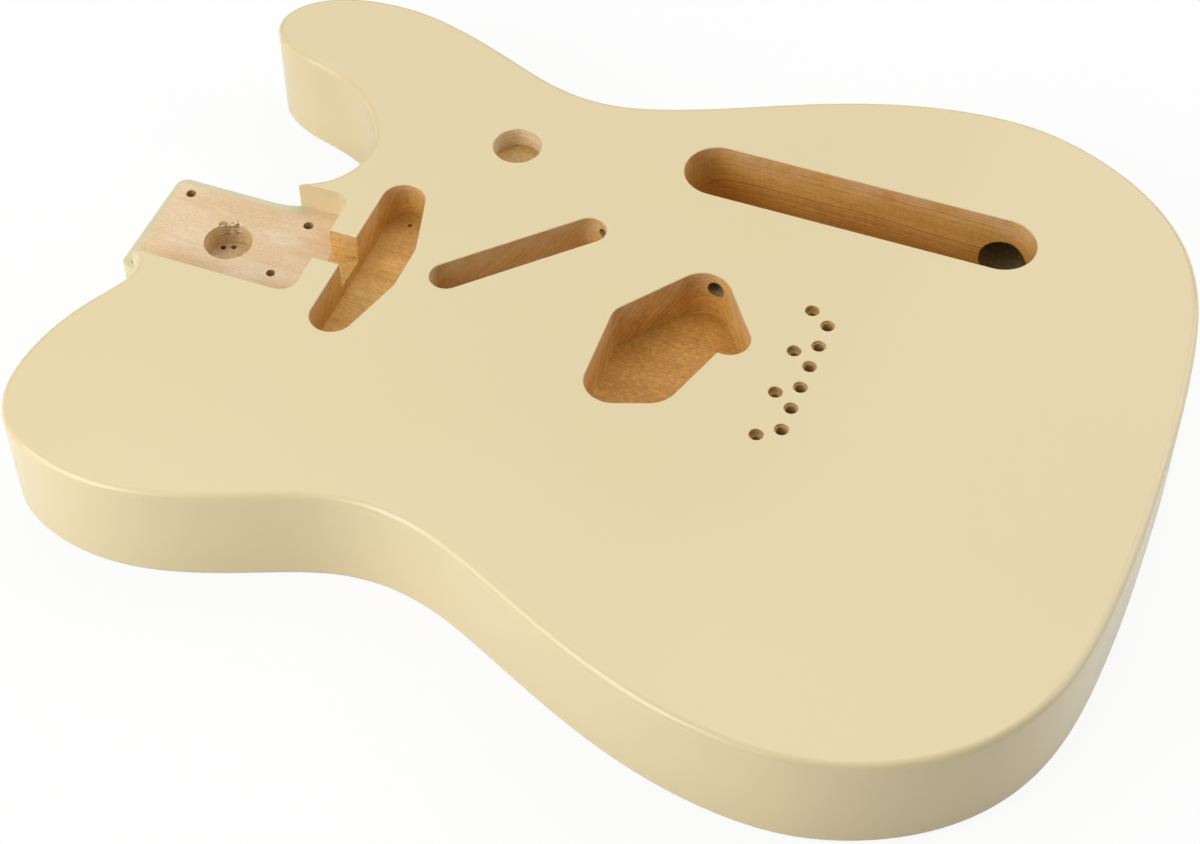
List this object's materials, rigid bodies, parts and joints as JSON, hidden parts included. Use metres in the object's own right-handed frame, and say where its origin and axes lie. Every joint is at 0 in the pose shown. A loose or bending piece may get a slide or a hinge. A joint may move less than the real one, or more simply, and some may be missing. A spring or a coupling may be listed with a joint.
{
  "type": "electric guitar body",
  "caption": "Bare solid guitar body, gloss painted, with a horn and cutaway, an open neck pocket, pickup and control cavities, a wire slot, through string holes and a side jack bore.",
  "frame": {"origin": "middle of the body's bounding box, on the flat back", "axes": "+X from the neck end to the tail along the strings' centre line, +Y to the treble side, +Z out of the face"},
  "size_m": [0.4031, 0.322, 0.045],
  "materials": {
    "painted_wood": "gloss cream paint over sealed wood, with bare wood in the neck pocket and sealed wood in the cavities"
  },
  "bodies": {
    "root": {"board_centre": "painted_wood", "board_treble": "painted_wood", "board_bass": "painted_wood"}
  },
  "joints": []
}
